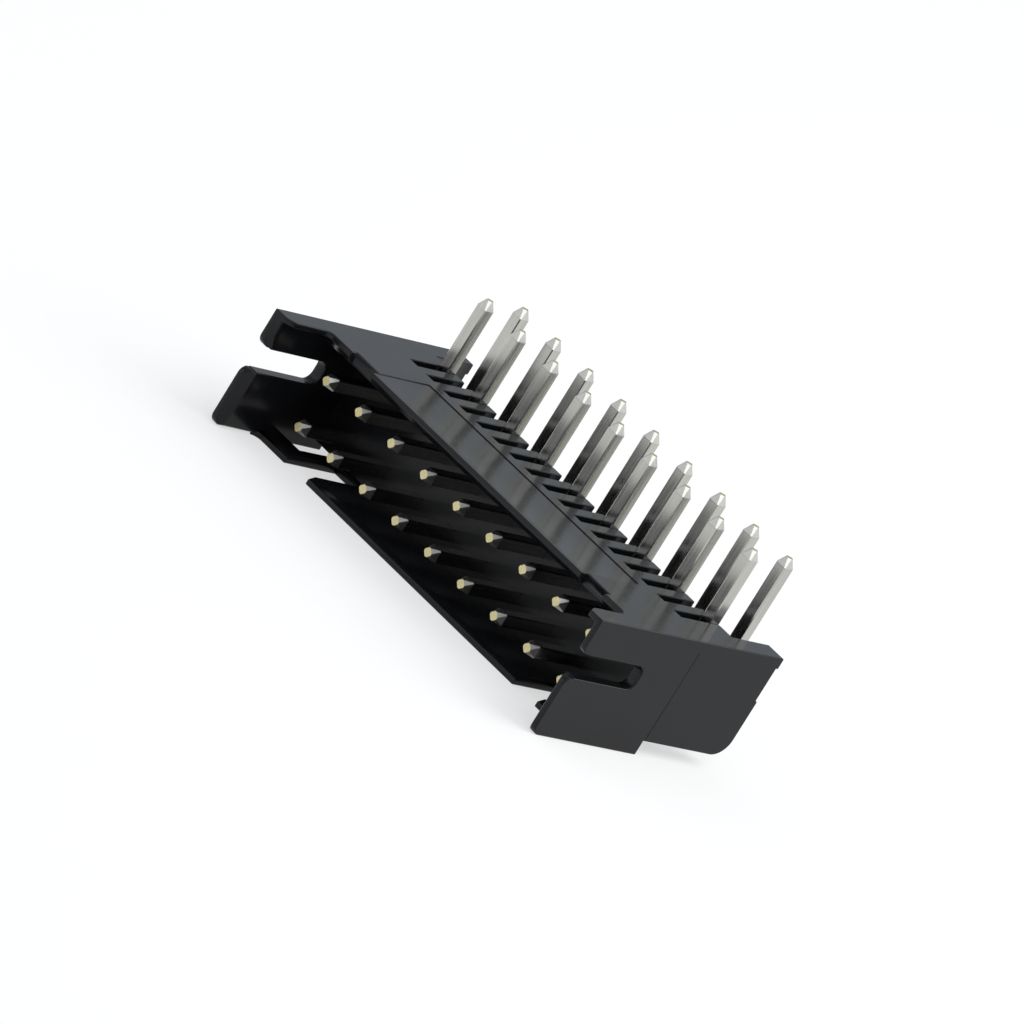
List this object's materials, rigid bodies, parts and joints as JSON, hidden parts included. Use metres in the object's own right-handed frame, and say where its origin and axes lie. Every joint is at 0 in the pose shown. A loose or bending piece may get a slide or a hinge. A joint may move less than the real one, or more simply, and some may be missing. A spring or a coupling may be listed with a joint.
{
  "type": "right-angle shrouded box header",
  "caption": "Right-angle box header for flat cable: black shrouded housing with latch-slotted end walls and two rows of square bent contacts.",
  "frame": {"origin": "centre of the tail pattern, midway between the two rows of tails, in the plane of the housing's board face", "axes": "+X along the contact rows, +Y from the mating mouth towards the back, +Z out of the board face along the tails; on a circuit board the part is turned over, with +Z pointing into the board"},
  "size_m": [0.0198, 0.0102, 0.0079],
  "materials": {
    "housing_plastic": "semi-gloss moulded black",
    "tinned_wire": "bright tin plating over brass wire, with fine lengthwise streaks"
  },
  "bodies": {
    "root": {"housing": "housing_plastic", "short_contact_1": "tinned_wire", "short_contact_2": "tinned_wire", "short_contact_3": "tinned_wire", "short_contact_4": "tinned_wire", "short_contact_5": "tinned_wire", "short_contact_6": "tinned_wire", "short_contact_7": "tinned_wire", "short_contact_8": "tinned_wire", "short_contact_9": "tinned_wire", "long_contact_1": "tinned_wire", "long_contact_2": "tinned_wire", "long_contact_3": "tinned_wire", "long_contact_4": "tinned_wire", "long_contact_5": "tinned_wire", "long_contact_6": "tinned_wire", "long_contact_7": "tinned_wire", "long_contact_8": "tinned_wire", "long_contact_9": "tinned_wire"}
  },
  "joints": []
}
